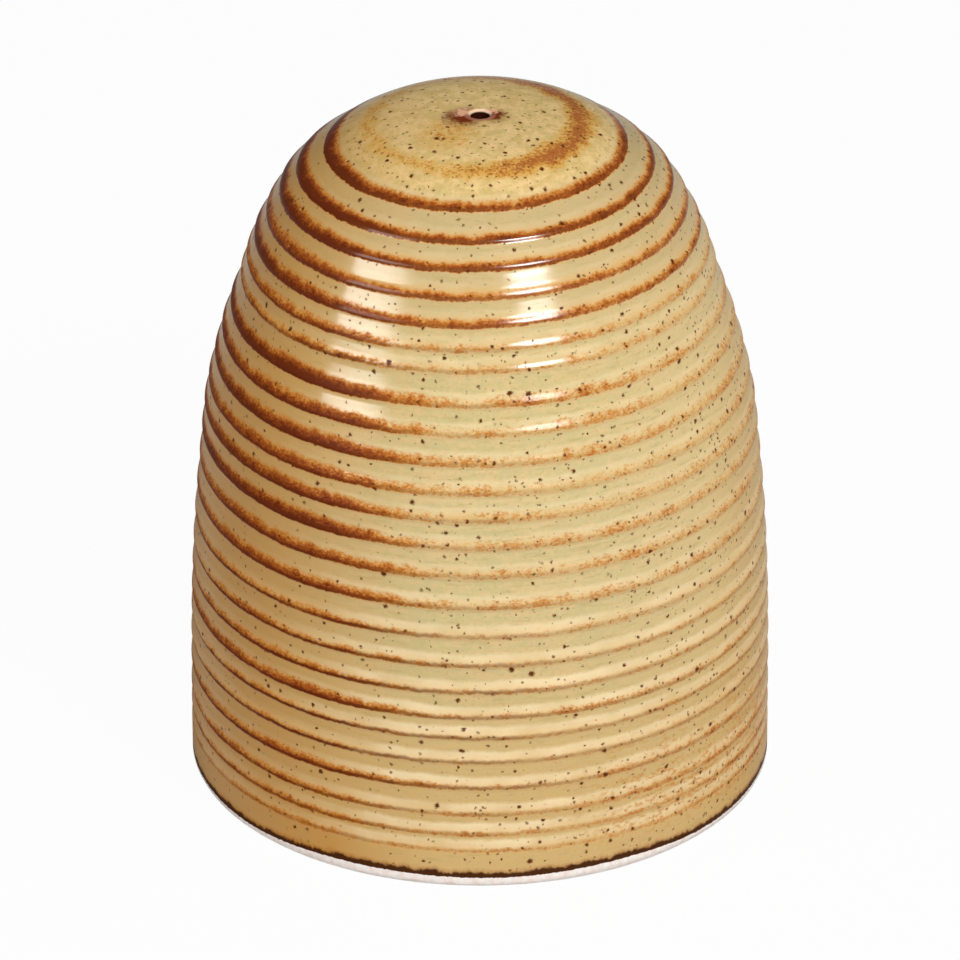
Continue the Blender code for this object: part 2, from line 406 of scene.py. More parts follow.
def turning_tree():
    """Turns a profile of rows into a mesh, with the rings' relief, and keeps what the glaze reads."""
    tree = bpy.data.node_groups.new("turned_on_a_wheel", "GeometryNodeTree")
    for name, kind in TURNING_INPUTS.items():
        tree.interface.new_socket(name, in_out="INPUT", socket_type=kind)
    tree.interface.new_socket("Geometry", in_out="OUTPUT", socket_type="NodeSocketGeometry")
    given = Wire(tree).node("NodeGroupInput")
    profile = given.output("Rows")
    segments = given.output("Segments")
    counted = {"Geometry": profile}
    component = {"component": "MESH"}
    row_count = given.node("GeometryNodeAttributeDomainSize", component, counted, "Point Count")
    columns = segments + 1
    lines = {"Vertices X": row_count + given.output("Closed"), "Vertices Y": columns}
    grid = given.node("GeometryNodeMeshGrid", None, lines, "Mesh")

    index = given.node("GeometryNodeInputIndex")
    line = (index / columns).floor()
    turn = (index - line * columns) / segments * math.tau
    row = line % row_count

    def of_row(name):
        named = given.node("GeometryNodeInputNamedAttribute", {"data_type": "FLOAT"}, {"Name": name})
        sampled = {"Geometry": profile, "Value": named, "Index": row}
        return given.node("GeometryNodeSampleIndex", None, sampled)

    place = given.node("GeometryNodeInputPosition")
    vector = {"data_type": "FLOAT_VECTOR"}
    sampled = {"Geometry": profile, "Value": place, "Index": row}
    place = given.node("GeometryNodeSampleIndex", vector, sampled)
    place = given.node("ShaderNodeSeparateXYZ", None, {"Vector": place})
    radius = place.output("X")
    height = place.output("Z")
    across = turn.math("COSINE", turn)
    ahead = turn.math("SINE", turn)

    def unevenness(around, down, shift):
        """A smooth noise from -1 to 1. Larger numbers give more lumps round the axis and down it."""
        spot = {
            "X": across * around + given.output("Seed") + shift,
            "Y": ahead * around,
            "Z": of_row("distance") * down,
        }
        spot = given.node("ShaderNodeCombineXYZ", None, spot)
        lumps = {"Vector": spot, "Scale": 1.0, "Detail": 1.0}
        return given.node("ShaderNodeTexNoise", None, lumps) * 2 - 1

    depth = of_row("depth")
    ringed = depth.math("GREATER_THAN", depth, 0.0)
    part = of_row("phase").fraction()
    flare = part.step(given.output("Flare Start"), FLARE_END)
    crest = flare.larger(1 - part.step(0.0, given.output("Crest Step")))
    cut = unevenness(around=1.5, down=0.25, shift=5.0) * given.output("Unevenness")
    sink = depth * (1 - crest) * (1 + cut)
    wander = unevenness(around=2.4, down=0.3, shift=9.0) * given.output("Wander")
    shift = wander * ringed - of_row("lean") * radius * across
    wobble = unevenness(around=0.8, down=0.03, shift=2.0) * given.output("Out of Round")
    wobble = wobble * of_row("glazed") * (radius / BODY_RADIUS)
    along_r = of_row("along_r")
    along_z = of_row("along_z")
    new_radius = radius + along_r * shift + along_z * sink + wobble
    new_height = height + along_z * shift - along_r * sink
    spot = {"X": new_radius * across, "Y": new_radius * ahead, "Z": new_height}
    spot = given.node("ShaderNodeCombineXYZ", None, spot)
    mesh = given.node("GeometryNodeSetPosition", None, {"Geometry": grid, "Position": spot})
    for kept, name in KEPT_VALUES.items():
        values = {"Geometry": mesh, "Name": kept, "Value": of_row(name)}
        stored = {"data_type": "FLOAT", "domain": "POINT"}
        mesh = given.node("GeometryNodeStoreNamedAttribute", stored, values)
    merged = {"Geometry": mesh, "Distance": MERGE_DISTANCE}
    mesh = given.node("GeometryNodeMergeByDistance", None, merged)
    mesh = given.node("GeometryNodeRealizeInstances", None, {"Geometry": mesh})
    mesh = given.node("GeometryNodeSetShadeSmooth", None, {"Geometry": mesh})
    finish = {"Geometry": mesh, "Material": given.output("Finish")}
    mesh = given.node("GeometryNodeSetMaterial", None, finish)
    given.node("NodeGroupOutput", None, {"Geometry": mesh})
    return tree


TURNING = turning_tree()
print(f"turning tree of {len(TURNING.nodes)} nodes")

# %% [markdown]
# ## From a tree to a plain mesh
# A tree lives in a modifier, and the finished piece has to be a plain mesh that can be exported. The
# modifier could be applied with an operator, but that needs a selection. Reading the evaluated object
# gives the same mesh from the data alone. The rows become a cloud of points with one attribute for
# each value, which is how the tree finds them.

# %% From a tree to a plain mesh
def set_inputs(piece, tree, values):
    """Give a piece a tree, with the tree's named inputs set by their identifiers."""
    modifier = piece.modifiers.new(tree.name, "NODES")
    modifier.node_group = tree
    for item in tree.interface.items_tree:
        if item.name in values:
            modifier[item.identifier] = values[item.name]


def made_plain(piece):
    """Replace a piece's mesh by what its modifiers make of it, and remove them."""
    graph = bpy.context.evaluated_depsgraph_get()
    before = piece.data
    seen = piece.evaluated_get(graph)
    skin = bpy.data.meshes.new_from_object(seen, preserve_all_data_layers=True, depsgraph=graph)
    piece.modifiers.clear()
    piece.data = skin
    bpy.data.meshes.remove(before)
    skin.name = piece.name


def turned(name, profile_rows, sizes):
    """Turn rows with the tree, its inputs set to sizes, and keep the result as a plain mesh."""
    mesh = bpy.data.meshes.new(name)
    mesh.from_pydata([row["place"] for row in profile_rows], [], [])
    for value in ROW_VALUES:
        layer = mesh.attributes.new(value, "FLOAT", "POINT")
        layer.data.foreach_set("value", [row[value] for row in profile_rows])
    piece = bpy.data.objects.new(name, mesh)
    bpy.context.scene.collection.objects.link(piece)
    set_inputs(piece, TURNING, sizes)
    made_plain(piece)
    print(f"{name}: {len(piece.data.vertices)} points, {len(piece.data.polygons)} faces")
    return piece


print(f"each row carries {len(ROW_VALUES)} values")

# %% [markdown]
# ## The breaking glaze
# A breaking glaze is one coat that changes with its thickness. In the hollows it pools and fires to
# an opaque green beige; towards a crest it thins to warm cream; on the crest itself it is so thin
# that the iron in the clay shows, as a ragged red-brown line whose lower edge is sharp. Part of the
# cream is painted light where a crest's flare faces the lamps, and part of the thin line on each crest
# is painted shade under its step. Iron specks come up through it everywhere. All of this follows the
# rings, so the shader reads the ring's phase from the mesh and works in millimetres. The colours come
# first, as they show on a screen.

# %% Colours as they show on a screen
def srgb(red, green, blue):
    """A colour given as 0 to 255 on a screen, as the linear colour that a shader takes."""
    linear = []
    for value in (red, green, blue):
        share = value / 255
        linear.append(share / 12.92 if share <= 0.04045 else ((share + 0.055) / 1.055) ** 2.4)
    return (*linear, 1.0)


POOLED = srgb(208, 191, 135)
WARM_POOLED = srgb(223, 195, 139)
LOW_POOLED = srgb(214, 178, 114)
# the next two are painted light: the glaze is darker on the dome and paler on the top disc
DOME_PAINTED_SHADE = srgb(198, 171, 122)
DISC_PALE_PAINTED_LIGHT = srgb(246, 210, 146)
DISC_OLIVE = srgb(218, 186, 114)
OCHRE_POOLED = srgb(203, 150, 72)
OLIVE_STREAK = srgb(186, 164, 104)
# partly the glaze's pale break, partly painted light above each crest
CREAM_AND_LIT = srgb(250, 226, 178)
YELLOW_CREAM = srgb(226, 176, 108)
ORANGE = srgb(206, 130, 44)
RUST = srgb(160, 78, 26)
DARK_RUST = srgb(104, 42, 15)
# partly a thin glaze line, partly painted shade under each crest's step
THIN_LINE_AND_SHADE = srgb(124, 76, 34)
SPECK = srgb(98, 46, 10)
EDGE_BROWN = srgb(62, 28, 10)
BARE_CLAY = srgb(254, 248, 243)
CLAY_SHADE = srgb(246, 228, 218)
# painted shade down the sprinkle hole
HOLE_PAINTED_SHADE = srgb(52, 20, 10)
MOUTH_PALE = srgb(248, 210, 176)
MOUTH_PINK = srgb(178, 112, 88)
MOUTH_RUST = srgb(118, 48, 6)
PEACH = srgb(250, 190, 150)
FLASH = srgb(222, 166, 72)
FLAME_CORE = srgb(172, 86, 24)
print("colours ready")

# %% [markdown]
# ## Tools for finishes
# Every finish is made from a few moves: a colour between two colours, a noise round 0, and specks in
# the cells of a Voronoi texture. A noise that is added to a distance before a soft step gives a
# ragged edge, which is how most of the marks below are drawn.

# %% Helpers for finishes
def new_finish(name):
    """A new material. Returns it, a wire in its tree, and its Principled surface."""
    material = bpy.data.materials.new(name)
    material.use_nodes = True
    surface = material.node_tree.nodes["Principled BSDF"]
    return material, Wire(material.node_tree), surface


def feed(wire, socket):
    """Link a wire to a socket of the surface."""
    wire.tree.links.new(wire.socket, socket)


def in_millimetres(start):
    """Where a point lies on its piece, in millimetres."""
    spot = start.node("ShaderNodeTexCoord", None, None, "Object")
    scaled = {"Vector": spot, "Scale": 1 / MM}
    return start.node("ShaderNodeVectorMath", {"operation": "SCALE"}, scaled)


def mixed(share, first, second):
    """A colour between two colours."""
    sockets = {"Factor_Float": share, "A_Color": first, "B_Color": second}
    return share.node("ShaderNodeMix", {"data_type": "RGBA"}, sockets, "Result_Color")


def noise(spot, scale, detail=2.0):
    """A noise round 0, mostly within 0.5 of it, with lumps of about 1/scale mm."""
    lumps = {"Vector": spot, "Scale": scale, "Detail": detail}
    return spot.node("ShaderNodeTexNoise", None, lumps) * 2 - 1


def away_from(at, x, y):
    """How far a point is from an upright line at (x, y), in millimetres."""
    across = at.x - x
    ahead = at.y - y
    return across.math("SQRT", across * across + ahead * ahead)


def specks(spot, scale, share, size):
    """Scattered specks up to size mm in radius; share is how many of the cells hold one."""
    cell = spot.node("ShaderNodeTexVoronoi", None, {"Vector": spot, "Scale": scale}, "Distance")
    chance = spot.node("ShaderNodeSeparateColor", None, {"Color": cell.output("Color")})
    radius = (0.35 + 0.65 * chance.output("Green")) * size
    spot_mask = (cell / scale).step(radius, radius * 0.4)
    return spot_mask * chance.math("LESS_THAN", chance.output("Red"), share)


print("finish helpers ready")

# %% [markdown]
# ## What the glaze measures
# A potter reads a glaze by where it lies: on a crest or in a hollow, on the dome or near the foot,
# on the side that met the flame or the one that didn't. The same measures are taken here once, as
# wires, from the place of a point and from the values that the turning left on the mesh. Marks that
# follow a ring use places wound round the wall, so that they don't stretch where the dome closes in.

# %% What the glaze measures
CREST_REACH = 0.22
RING_SHIFT = 23.7


class GlazePlace:
    """Wires that say where a point of the wall lies: lengths in millimetres, sides as shares."""

    def __init__(self, start):
        def kept(name):
            return start.node("ShaderNodeAttribute", {"attribute_name": name}, None, "Fac")

        self.spot = in_millimetres(start)
        split = start.node("ShaderNodeSeparateXYZ", None, {"Vector": self.spot})
        self.x = split.output("X")
        self.y = split.output("Y")
        self.z = split.output("Z")
        self.radius = split.math("SQRT", self.x * self.x + self.y * self.y)
        flat = {"X": self.x, "Y": self.y, "Z": self.z * 1.5}
        self.flat = start.node("ShaderNodeCombineXYZ", None, flat)
        self.glazed = kept("glazed")
        self.bold = kept("ring_boldness")
        phase = kept("ring_phase")
        lifted = (phase - CREST_REACH).fraction()
        ring = (phase - CREST_REACH).floor()
        to_crest = 1 - CREST_REACH - lifted
        gap = kept("ring_gap")
        self.ringed = phase.step(CREST_REACH - 1, -0.6) * phase.step(last_phase + 0.2, last_phase)
        rim = BODY_RADIUS / MM
        round_x = self.x / self.radius * rim
        round_y = self.y / self.radius * rim
        down = {"X": round_x, "Y": round_y, "Z": kept("wall_distance") * 0.6}
        self.on_wall = start.node("ShaderNodeCombineXYZ", None, down)
        by_ring = {"X": round_x, "Y": round_y, "Z": ring * RING_SHIFT}
        self.on_ring = start.node("ShaderNodeCombineXYZ", None, by_ring)
        drawn_out = {"X": round_x * 0.25, "Y": round_y * 0.25, "Z": kept("wall_distance") * 1.8}
        self.drawn_out = start.node("ShaderNodeCombineXYZ", None, drawn_out)
        self.over_crest = to_crest * gap + noise(self.on_ring, 0.35, 3.0) * 0.18
        self.left = self.x.step(-3.0, -17.0)
        self.right = self.x.step(6.0, 27.0)
        self.dome = self.z.step(59.0, 66.0)
        self.low = self.z.step(40.0, 22.0)
        self.disc = self.radius.step(16.0, 13.5) * self.z.step(70.0, 72.0)
        self.far_left = self.x.step(-9.0, -22.0)
        near = 0.21 * self.dome + 0.06 * self.low
        sunk = near * (1 - self.far_left) + 0.24 * self.far_left
        self.over_line = self.over_crest + sunk


print(f"the glaze reads {len(KEPT_VALUES)} values from the mesh")

# %% [markdown]
# ## Rust and cream along the crests
# On the pot, rust is the clay's iron showing where the glaze ran thin. Each crest has three marks:
# grainy rust that reaches up from the crest, a thin brown line on the crest itself, which is partly
# painted shade under the crest's step, and a cream strip above, which is partly the glaze's break
# and partly painted light where the flare faces the lamps. They could be painted as stripes by
# height, but the rings wander, so each is a soft step of the distance over the crest, made ragged
# by noise. More rust lies on the left and on the dome.

# %% Rust on the crests
def rust_reach(at):
    """How much rust a crest holds: most on the left and the dome, uneven along each ring."""
    drift = noise(at.on_ring, 0.12, 3.0)
    scorch = noise(at.spot, 0.09, 3.0).step(0.0, 0.4) * (0.12 + 0.16 * at.low)
    scorch = scorch + at.z.step(22.0, 8.0) * 0.14
    side = at.left + (1 - at.left) * (0.20 + 0.50 * at.dome)
    reach = at.bold * side + drift * (0.30 - 0.12 * at.right) + scorch * at.right
    return reach.larger(0.0).smaller(1.2)


def rust_on_crests(at, reach):
    """How thin the glaze is on a crest: 0 where it is whole, past 1 where only rust is left."""
    lumps = noise(at.on_wall, 0.55, 2.0)
    grain = noise(at.flat, 1.5, 2.0) * 0.6 + noise(at.flat, 3.0, 2.0) * 0.6
    near_top = at.dome * (1 - at.far_left)
    spread = (1 - at.left) * (1 - at.dome) * (1 - at.low)
    top = 0.40 + 0.40 * at.bold.step(0.3, 0.7) + 0.65 * reach + 0.35 * at.far_left
    top = top + 0.30 * spread - 0.10 * at.low - 0.25 * near_top
    top = top + 0.15 * at.dome * at.far_left + 0.3 * at.z.step(71.2, 72.2)
    fade = (at.over_line - lumps * 0.25) / top
    cover = fade.step(1.35, 0.2) * (at.over_line + grain * 0.12).step(-0.28, 0.0) * at.ringed
    blotchy = reach.step(0.6, 0.1)
    thin = 0.17 - (0.03 + 0.06 * at.right) * spread
    density = (thin + 0.95 * reach) * cover * at.bold.step(0.0, 0.1)
    uneven = grain * (0.44 + 0.06 * blotchy) + lumps * (0.15 + 0.14 * blotchy)
    return density + uneven * cover.step(0.0, 0.5)


def scorched_corner(at):
    """The grainy orange that the flame left low on the right, over crests and hollows alike."""
    grain = noise(at.flat, 1.6, 3.0) + noise(at.drawn_out, 0.7, 3.0) * 0.6
    corner = at.z.step(21.0, 9.0) * at.z.step(2.5, 5.0) * at.x.step(5.0, 21.0)
    return grain.step(-0.05, 0.42) * corner * 0.75


def crest_line_and_shade(at, reach):
    """The thin brown line where the glaze breaks over a crest, partly painted shade under its step."""
    breaks = 0.9 + noise(at.on_ring, 0.30, 3.0) * 0.7
    place = at.over_line + noise(at.on_wall, 1.4, 3.0) * 0.22
    line = place.step(0.50, 0.16) * place.step(-0.20, 0.06) * at.ringed * at.bold.step(0.15, 0.35)
    low = at.low * at.z.step(7.0, 13.0)
    front = at.x.step(13.0, -2.0)
    weight = 0.07 + 0.25 * front + 0.33 * at.left + low * (0.25 + 0.14 * front)
    weight = weight + 0.10 * at.dome + 0.20 * reach
    return (line * breaks * weight).smaller(0.95)


def cream_and_painted_light(at, reach):
    """The cream strip about a millimetre above each crest, partly painted light, and the warmer strip
    below it.
    """
    lift = 0.30 * reach - 0.15 * at.low
    soft = at.over_crest - lift - noise(at.on_wall, 0.30, 2.0) * 0.3
    soft = soft - noise(at.flat, 2.2, 2.0) * 0.15
    pale = soft.step(1.8, 1.2) * soft.step(0.2, 0.65) * at.ringed
    warm = soft.step(1.3, 0.3) * at.over_crest.step(-0.6, -0.1) * at.ringed
    along = 0.85 + noise(at.on_ring, 0.15, 3.0) * 1.1
    # the painted light is weaker on the left and on the far right
    open_side = 1 - 0.9 * at.x.step(-6.0, -22.0) - 0.4 * at.right
    strength = 0.42 - 0.22 * at.dome + 0.42 * at.low
    return (pale * along * open_side * strength).smaller(0.9), warm * (0.42 + 0.23 * at.dome)


print("marks along the crests ready")

# %% [markdown]
# ## The pooled glaze and its specks
# Between the crests the glaze pools. Its colour drifts over the whole pot, is drawn out in faint
# streaks by the turning, and is warmer towards the foot and ochre on the left. Iron specks in three
# sizes lie in it. A Voronoi texture gives one speck to a cell, and a small noise pushes the cells out
# of round, because real specks are grains and not dots.

# %% The pooled glaze and its specks
def pooled_glaze(at, mottle):
    """The colour of the bands: warmer towards the foot, ochre where the glaze lay deepest, with painted
    shade on the dome and painted light on the top disc.
    """
    clouds = noise(at.spot, 0.10, 3.0) + noise(at.flat, 0.7, 3.0) * 1.1
    clouds = clouds + noise(at.drawn_out, 1.0, 3.0) * 1.2
    pooled = mixed((clouds + mottle * 1.2).step(-0.7, 0.7), POOLED, WARM_POOLED)
    pooled = mixed(at.right * 0.8, pooled, WARM_POOLED)
    pooled = mixed(at.z.step(34.0, 8.0) * 0.9, pooled, LOW_POOLED)
    # painted shade: the dome's glaze is darkened for how light falls on it
    pooled = mixed((at.dome - at.disc) * 0.6, pooled, DOME_PAINTED_SHADE)
    blotches = noise(at.spot, 0.8, 4.0) + mottle * 0.5
    # painted light: the top disc is paler for how light falls on it
    disc_mottle_and_light = mixed(blotches.step(-0.35, 0.35), DISC_OLIVE, DISC_PALE_PAINTED_LIGHT)
    pooled = mixed(at.disc * 0.8, pooled, disc_mottle_and_light)
    streaks = noise(at.drawn_out, 1.6, 3.0).step(0.05, 0.5) * 0.45
    pooled = mixed(streaks * (1 - at.disc), pooled, OLIVE_STREAK)
    pits = noise(at.flat, 3.0, 2.0).step(0.10, 0.45) * 0.3
    deeper = at.x.step(-2.0, -27.0) + at.z.step(9.0, 4.0) * at.left * 0.4
    deeper = deeper + at.x.step(23.0, 30.0) * 0.35
    return mixed(pits.larger(deeper.smaller(1.0)), pooled, OCHRE_POOLED)


def iron_specks(at):
    """Specks in three sizes, pushed out of round, most of them on the disc and the right."""
    push = {"Vector": at.spot, "Scale": 3.0, "Detail": 3.0}
    shove = at.spot.node("ShaderNodeTexNoise", None, push, "Color")
    halved = {"Vector": shove, "Scale": 0.5}
    shove = shove.node("ShaderNodeVectorMath", {"operation": "SCALE"}, halved)
    spot = shove.node("ShaderNodeVectorMath", {"operation": "ADD"}, {0: at.spot, 1: shove})
    crowd = 0.85 + 0.75 * at.disc.larger(at.x.step(4.0, 22.0) * 0.5)
    near_crest = at.over_crest.step(1.6, 0.8) * at.ringed * at.x.step(-8.0, 6.0)
    crowd = crowd + noise(at.spot, 0.12, 2.0) * 0.8 + near_crest * 0.8
    dust = specks(spot, 1.3, 0.55 * crowd, 0.24) * 0.8
    fine = specks(spot, 0.8, 0.48 * crowd, 0.36)
    large = specks(spot, 0.4, 0.40 * crowd, 0.48)
    return dust.larger(fine).larger(large)


print("pooled glaze and specks ready")

# %% [markdown]
# ## The top disc, the mouth and the foot
# Flame passed over the top and left a grainy orange ring on it. Round the sprinkle hole the glaze
# drew back: there the clay shows pink, with rust run out beside it. At the foot the glaze was wiped
# off before firing, so it ends in a ragged, dark hem over bare clay. Each of these lies in one place
# only, so each is a distance from that place, made ragged like the rust.

# %% The top disc, the mouth and the foot
def flashed_disc(at, mottle):
    """The grainy orange ring and clouds that the flame left on the top disc, strongest on the right."""
    from_ring = away_from(at, -0.6, 0.0) - 11.2
    off_ring = from_ring.math("ABSOLUTE", from_ring + noise(at.spot, 0.4, 3.0) * 1.2)
    strong = at.x.step(-6.0, 9.0)
    ring = (off_ring / (1.9 + 0.8 * strong)).step(1.0, 0.0) * (0.57 + 0.57 * strong)
    smudge = away_from(at, -3.2, -4.2).step(6.0, 0.5) * 0.55
    grain = noise(at.spot, 3.2, 2.0)
    stain = ring.larger(smudge) + noise(at.spot, 1.3, 3.0) * 0.40 + grain * 0.45 + mottle * 0.25
    return stain.step(0.10, 0.75) * at.disc, stain + grain * 0.4


def mouth_smudge(at, mottle):
    """The rust that ran from the sprinkle hole, more to one side."""
    ragged = mottle * 1.0 + noise(at.spot, 0.8, 2.0) * 1.0
    left = away_from(at, -1.7, -0.6) - ragged
    right = away_from(at, 1.5, -0.4) - ragged
    return left.step(3.0, 0.9).larger(right.step(2.1, 0.5)) * at.disc


def mouth_patches(at, mottle):
    """Where the glaze drew back from the hole: two peach patches beside it, and its near rim."""
    left = away_from(at, -1.75, 0.35) - mottle * 1.2
    right = away_from(at, 1.4, 0.8) - mottle * 0.8
    near = at.radius.step(1.9, 1.5) * at.y.step(0.2, -0.6)
    return left.step(1.25, 0.5).larger(right.step(0.8, 0.3)) * at.disc, near * at.disc


def bare_clay(at):
    """The colour of the unglazed clay, pink at the mouth, with painted shade down the hole."""
    clay = mixed(noise(at.spot, 1.4, 4.0).step(-0.4, 0.5), BARE_CLAY, CLAY_SHADE)
    clay = mixed(at.disc, clay, mixed(at.y.step(0.5, -0.6), MOUTH_PALE, MOUTH_PINK))
    # painted shade down the sprinkle hole, where little light reaches
    return mixed(at.radius.step(1.6, 1.3) * at.z.step(75.86, 75.70), clay, HOLE_PAINTED_SHADE)


def glaze_hem(at):
    """How high above the table the glaze ends: higher in front, lower at the sides."""
    hem = 0.85 + 0.45 * at.x.step(-26.0, -14.0) - 0.10 * at.x.step(-10.0, 0.0)
    return hem + 0.15 * at.x.step(4.0, 14.0) - 0.4 * at.x.step(15.0, 25.0)


print("disc, mouth and foot ready")

# %% [markdown]
# ## The glaze
# The marks are laid over each other in the order in which they lie on the pot: pooled glaze, cream,
# rust, flame, specks, and bare clay last. The gloss is a clear coat, because a glaze is a layer of
# glass. It is thinner, or left out, where the surface is dry: on heavy rust, far out on both sides, at
# the hem and on bare clay. A slight bump gives the skin of the glaze; the rings are in the mesh.

# %% The glaze
COAT_ROUGHNESS = 0.13
UNDER_COAT_GLOSS = 0.02
GLAZE_RELIEF = 0.06 * MM


def ringed_glaze():
    """The glaze of the body, from the pooled bands to the rust and the bare clay of the foot."""
    material, start, surface = new_finish("ringed_glaze")
    at = GlazePlace(start)
    mottle = noise(at.spot, 2.2, 3.0)
    reach = rust_reach(at)
    rust = rust_on_crests(at, reach)
    pale, warm = cream_and_painted_light(at, reach)
    colour = pooled_glaze(at, mottle)
    # the cream strip is partly painted light on each crest's flare
    colour = mixed(pale, colour, CREAM_AND_LIT)
    colour = mixed(warm, colour, YELLOW_CREAM)
    colour = mixed((rust.step(0.08, 0.50) * 0.85).larger(scorched_corner(at)), colour, ORANGE)
    colour = mixed(rust.step(0.36, 0.76) * 0.95, colour, RUST)
    colour = mixed(rust.step(0.62, 1.10) * 0.95, colour, DARK_RUST)
    # the thin crest line is partly painted shade under each crest's step
    colour = mixed(crest_line_and_shade(at, reach), colour, mixed(at.left, THIN_LINE_AND_SHADE, DARK_RUST))
    flash, flame = flashed_disc(at, mottle)
    flame_colour = mixed(flame.step(0.50, 1.15), FLASH, FLAME_CORE)
    colour = mixed(flash * 0.9, colour, flame_colour)
    colour = mixed(mouth_smudge(at, mottle), colour, MOUTH_RUST)
    beside, near = mouth_patches(at, mottle)
    colour = mixed(beside * 0.85, colour, PEACH)
    colour = mixed(near * 0.9, colour, MOUTH_PINK)
    speck = iron_specks(at)
    colour = mixed(speck, colour, SPECK)

    hem = glaze_hem(at)
    edge = at.z - hem - noise(at.on_wall, 0.6, 4.0) * 0.5 - noise(at.on_wall, 2.2, 2.0) * 0.3
    colour = mixed(edge.step(1.25, 0.5) * at.glazed * 0.5, colour, RUST)
    colour = mixed(edge.step(0.80, 0.42) * at.glazed * 0.95, colour, EDGE_BROWN)
    bare = 1 - at.glazed.step(0.3, 0.7) * (at.z - hem + mottle * 0.15).step(-0.03, 0.05)
    colour = mixed(bare, colour, bare_clay(at))

    feed(colour, surface.inputs["Base Color"])
    feed(0.38 + bare * 0.4 + mottle * 0.05, surface.inputs["Roughness"])
    dry_rust = rust.step(0.18, 0.50) * at.x.step(-1.0, -8.0) * (1 - 0.35 * at.dome)
    dry_side = (at.x.step(15.0, 28.0) * 0.7).larger(at.x.step(-22.0, -30.0) * 0.35)
    dry = dry_rust.larger(dry_side).larger(edge.step(1.3, 0.6)).larger(speck * 0.8)
    feed((1 - bare) * (1 - dry) * 0.85, surface.inputs["Coat Weight"])
    surface.inputs["Coat Roughness"].default_value = COAT_ROUGHNESS
    surface.inputs["Specular IOR Level"].default_value = UNDER_COAT_GLOSS
    relief = noise(at.spot, 0.9, 2.0) * 0.5 + mottle * 0.12 - speck * 0.3 + bare * mottle
    bump = {"Height": relief, "Strength": 0.35, "Distance": GLAZE_RELIEF}
    feed(start.node("ShaderNodeBump", None, bump), surface.inputs["Normal"])
    return material


GLAZE = ringed_glaze()
print(f"glaze of {len(GLAZE.node_tree.nodes)} nodes")

# %% [markdown]
# ## Turning the body
# With the rows, the tree and the glaze in place, the body is one call. It rides on the shaker's body
# and stands for its CAD solid, which is hidden here and stays in the physics model for collision.

# %% Turn the body
shaker = turned("ringed_body", rows, {
    "Segments": 216,
    "Closed": 1,
    "Crest Step": 0.16,
    "Flare Start": 0.66,
    "Wander": 0.10 * MM,
    "Unevenness": 0.35,
    "Out of Round": 0.08 * MM,
    "Seed": 3.0,
    "Finish": GLAZE,
})
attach(shaker, "shaker")
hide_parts("shaker_body")

# %% [markdown]
# ## The stopper's plug and flange
# A soft stopper closes the filling hole from below. It is moulded in one piece: a hollow plug with
# three sealing ribs that press on the clay, a thin web across it, and a flange that seats in the
# recess of the base. All of that is round, so the same tree turns it, from an open line that starts
# and ends on the axis.

# %% Stopper rows
SEAT_HEIGHT = RECESS_DEPTH - 0.3 * MM
PLUG_RADIUS = 9.2 * MM
RIB_RADIUS = 9.7 * MM
HOLLOW_RADIUS = 7.6 * MM
PLUG_TOP = 7.8 * MM
LEAD_IN = 0.8 * MM
RIB_MIDDLES = (5.83 * MM, 3.5 * MM, 1.17 * MM)
FLANGE_RADIUS = 12.5 * MM
FLANGE_THICKNESS = 1.6 * MM

plug_corners = [
    (0.0, 0.2 * MM, 0),
    (HOLLOW_RADIUS, 0.2 * MM, 0.6 * MM),
    (HOLLOW_RADIUS, PLUG_TOP, 0.35 * MM),
    (PLUG_RADIUS - LEAD_IN, PLUG_TOP, 0.25 * MM),
    (PLUG_RADIUS, PLUG_TOP - LEAD_IN, 0.25 * MM),
]
for middle in RIB_MIDDLES:
    plug_corners += [
        (PLUG_RADIUS, middle + 0.6 * MM, 0.1 * MM),
        (RIB_RADIUS, middle + 0.3 * MM, 0.2 * MM),
        (RIB_RADIUS, middle - 0.3 * MM, 0.2 * MM),
        (PLUG_RADIUS, middle - 0.6 * MM, 0.1 * MM),
    ]
plug_corners += [
    (PLUG_RADIUS, 0.0, 0.25 * MM),
    (FLANGE_RADIUS, 0.0, 0.7 * MM),
    (FLANGE_RADIUS, -FLANGE_THICKNESS, 0.7 * MM),
    (1.9 * MM, -FLANGE_THICKNESS, 0.15 * MM),
    (1.6 * MM, 0.15 * MM - FLANGE_THICKNESS, 0.15 * MM),
    (0.0, 0.15 * MM - FLANGE_THICKNESS, 0),
]
rows = []
for radius, height in rounded(plug_corners):
    add_row(radius, SEAT_HEIGHT + height)
print(f"{len(rows)} rows on the stopper")

# %% [markdown]
# ## Silicone
# Food-safe silicone has a fine matt skin, copied from the mould, and it isn't quite one colour. A
# small noise gives the skin, and a broad one moves the off-white a little. Nothing on it is glossy.

# %% The silicone finish
SILICONE_PALE = srgb(226, 220, 208)
SILICONE_WARM = srgb(212, 202, 184)
MOULD_SKIN = 0.03 * MM


def matt_silicone():
    """Off-white silicone with the fine skin of its mould."""
    material, start, surface = new_finish("matt_silicone")
    spot = in_millimetres(start)
    clouds = noise(spot, 0.25, 3.0)
    skin = noise(spot, 7.0, 3.0)
    colour = mixed((clouds + skin * 0.3).step(-0.5, 0.5), SILICONE_PALE, SILICONE_WARM)
    feed(colour, surface.inputs["Base Color"])
    feed(0.52 + skin * 0.12, surface.inputs["Roughness"])
    bump = {"Height": skin, "Strength": 0.5, "Distance": MOULD_SKIN}
    feed(start.node("ShaderNodeBump", None, bump), surface.inputs["Normal"])
    return material


SILICONE = matt_silicone()
stopper = turned("soft_stopper", rows, {
    "Segments": 144,
    "Closed": 0,
    "Crest Step": 0.5,
    "Flare Start": 0.5,
    "Seed": 1.0,
    "Finish": SILICONE,
})

